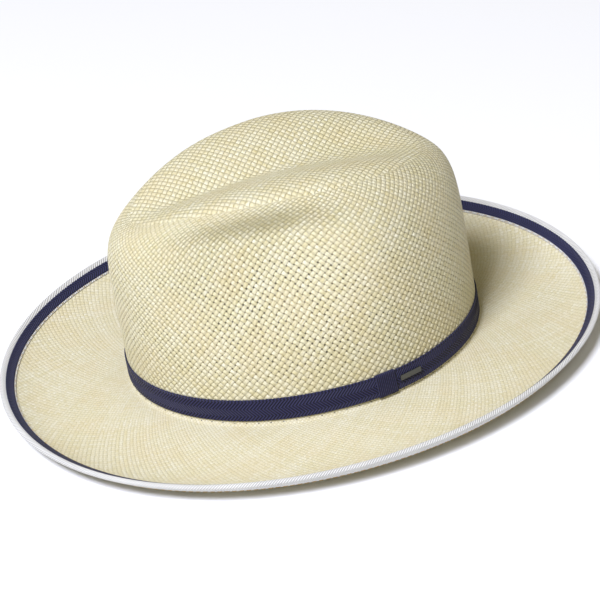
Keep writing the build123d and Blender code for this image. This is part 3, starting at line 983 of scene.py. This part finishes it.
def bow_knot():
    """Small pleated wrap at the bow's middle."""
    middle, along, up, inward = bow_frame()
    rings, sides = 15, 28
    verts, polys, uvs = [], [], []
    for k in range(rings):
        w = 2 * k / (rings - 1) - 1
        close = (1 - abs(w) ** 5) ** 0.4 if abs(w) < 1 else 0.25
        for a in range(sides):
            g = 2 * math.pi * a / sides
            c, s = math.cos(g), math.sin(g)
            x = 1.7 * math.copysign(abs(c) ** 0.6, c) * (0.85 + 0.15 * close)
            y = 1.2 * math.copysign(abs(s) ** 0.6, s) * max(close, 0.25)
            y *= 1 + 0.06 * math.sin(9 * x)
            verts.append(middle + along * x + up * 2.85 * w + inward * y)
    for k in range(rings - 1):
        for a in range(sides):
            a2 = (a + 1) % sides
            polys.append([k * sides + a, k * sides + a2, (k + 1) * sides + a2, (k + 1) * sides + a])
            u, s = a * 0.3, k * 0.4
            uvs += [(u, s), (u + 0.3, s), (u + 0.3, s + 0.4), (u, s + 0.4)]
    for row in (list(range(sides))[::-1], [(rings - 1) * sides + a for a in range(sides)]):
        polys.append(row)
        uvs += [(0, 0)] * sides
    return face_out(make_object("bow_wrap", verts, polys, uvs))


def make_threads():
    def above(t, d):
        return edge_point(t, -5.05, TAPE_OUT + d + 0.02)

    def below(t, d):
        return edge_point(t, -4.2, -TAPE_OUT - d - 0.02)

    def bend(t, d):
        p, _, n = frame_at(brim, t, 0.03 + 0 * t)
        return p + n * (d + 0.05)

    def inside(t, d):
        return wall(t, SEAM_RISE, LEATHER_IN - 0.12 - d)

    edge = thread_row("edge_threads", above, 190, 2.6, 0.17)
    amber = thread_material("amber_thread", (0.55, 0.36, 0.11))
    finish_piece(edge, amber, ["binding_stitches"])
    under = thread_row("under_threads", below, 250, 3.0, 0.26)
    finish_piece(under, amber, ["binding_stitches"])

    tacks = thread_row("band_threads", bend, 90, 0.95, 0.16)
    finish_piece(tacks, thread_material("dark_thread", (0.03, 0.028, 0.06)), ["band_stitches"])
    inner = thread_row("leather_threads", inside, 110, 3.0, 0.2)
    cream = thread_material("light_thread", (0.74, 0.66, 0.48))
    finish_piece(inner, cream, ["sweatband_stitches"])
    return edge, under, tacks, inner


def dress_cad_nodes():
    """Better materials for the CAD pieces that stay: plate, wire, sleeve and reed."""
    looks = {
        "name_plate": metal_material("gunmetal", (0.155, 0.165, 0.185), 0.30, (250.0, 250.0, 6000.0)),
        "brim_wire": metal_material("drawn_steel", (0.55, 0.55, 0.57), 0.25, (200.0, 200.0, 4000.0)),
        "wire_sleeve": metal_material("sleeve_brass", (0.65, 0.48, 0.22), 0.3, (4000.0, 200.0, 200.0)),
        "reed": plastic_material("reed_core", (0.78, 0.76, 0.68)),
    }
    for name, material in looks.items():
        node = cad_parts[name]
        for holder in node.material_slots:
            holder.material = material


# ---------------------------------------------------------------- stage


def make_stage():
    world = bpy.data.worlds.new("studio")
    bpy.context.scene.world = world
    world.use_nodes = True
    world.node_tree.nodes["Background"].inputs["Color"].default_value = (1.0, 0.92, 0.62, 1.0)
    world.node_tree.nodes["Background"].inputs["Strength"].default_value = 0.25
    mesh = bpy.data.meshes.new("floor")
    corners = [(x, y, -0.0005) for x, y in ((-6, -6), (6, -6), (6, 6), (-6, 6))]
    mesh.from_pydata(corners, [], [(0, 1, 2, 3)])
    floor = bpy.data.objects.new("floor", mesh)
    bpy.context.collection.objects.link(floor)
    paint = Nodes("pale_floor")
    floor.data.materials.append(paint.set(colour=(0.90, 0.90, 0.90), rough=0.9, specular=0.1))
    lamp("key", (1.36, -1.56, 3.0), 1.2, 169, (0.96, 0.99, 1.14))
    bpy.context.scene.view_settings.view_transform = "Standard"


def lamp(name, place, width, power, tint):
    data = bpy.data.lights.new(name, "AREA")
    data.size, data.energy, data.color = width, power, tint
    obj = bpy.data.objects.new(name, data)
    bpy.context.collection.objects.link(obj)
    obj.location = place
    obj.rotation_mode = "QUATERNION"
    obj.rotation_quaternion = (Vector((0, 0, 0.05)) - Vector(place)).to_track_quat("-Z", "Y")


def make_camera():
    """Long lens from the wearer's left and a little in front, turned a little about its own axis."""
    azimuth, elevation, lean = math.radians(72), math.radians(30.5), math.radians(6.9)
    distance, width = 1.5, 0.3352
    right = Vector((math.cos(azimuth), math.sin(azimuth), 0))
    level, rise = math.cos(elevation), math.sin(elevation)
    back = Vector((math.sin(azimuth) * level, -math.cos(azimuth) * level, rise))
    up = back.cross(right)
    right, up = right * math.cos(lean) - up * math.sin(lean), right * math.sin(lean) + up * math.cos(lean)
    middle = Vector((0, 0.00129, 0.0514))
    place = middle + back * distance
    aim = middle + right * 0.0021 - up * 0.0186
    back = (place - aim).normalized()
    right = (right - back * right.dot(back)).normalized()
    up = back.cross(right)
    data = bpy.data.cameras.new("camera")
    data.sensor_width, data.lens = 36.0, 36.0 * distance / width
    data.clip_start, data.clip_end = 0.05, 30
    camera = bpy.data.objects.new("camera", data)
    bpy.context.collection.objects.link(camera)
    camera.matrix_world = Matrix.Translation(place) @ Matrix((right, up, back)).transposed().to_4x4()
    bpy.context.scene.camera = camera


straw_crown, straw_brim = make_straw()
make_band()
make_binding()
leather_band, reed_cover = make_leather()
blank_label, *back_trim = make_inside_trim()
make_threads()
dress_cad_nodes()
make_stage()
make_camera()
